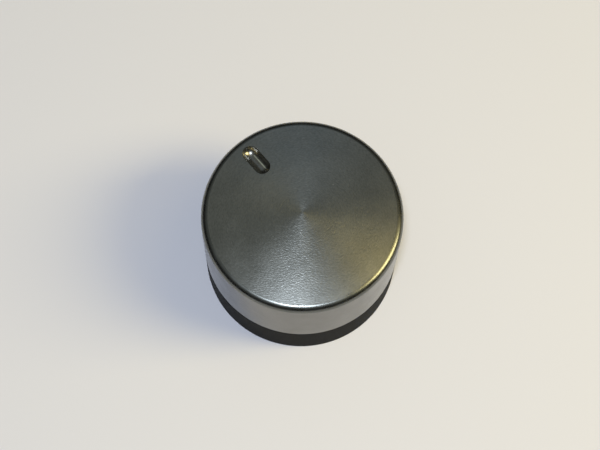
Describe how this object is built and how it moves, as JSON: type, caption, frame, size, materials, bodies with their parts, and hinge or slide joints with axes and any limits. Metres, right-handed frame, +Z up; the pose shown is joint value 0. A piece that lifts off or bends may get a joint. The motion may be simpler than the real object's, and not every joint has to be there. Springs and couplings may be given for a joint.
{
  "type": "control knob",
  "caption": "Round push-on control knob: spun metal cap with a slightly crowned top and a milled pointer groove, on a black moulded base, with a split serrated socket closed by a spring ring.",
  "frame": {"origin": "centre of the rim that the knob stands on, in the plane of the panel", "axes": "+Z up along the shaft axis, towards the top face; +Y towards the pointer groove; +X to the right"},
  "size_m": [0.038, 0.038, 0.0268],
  "materials": {
    "cap_metal": "grey anodised, spun top with concentric lines, smooth satin side, bright milled groove",
    "black_moulding": "injection moulded black plastic with a low sheen",
    "spring_steel": "rolled bright spring steel strip"
  },
  "bodies": {
    "root": {"cap": "cap_metal", "hub": "black_moulding", "spring_ring": "spring_steel"}
  },
  "joints": []
}
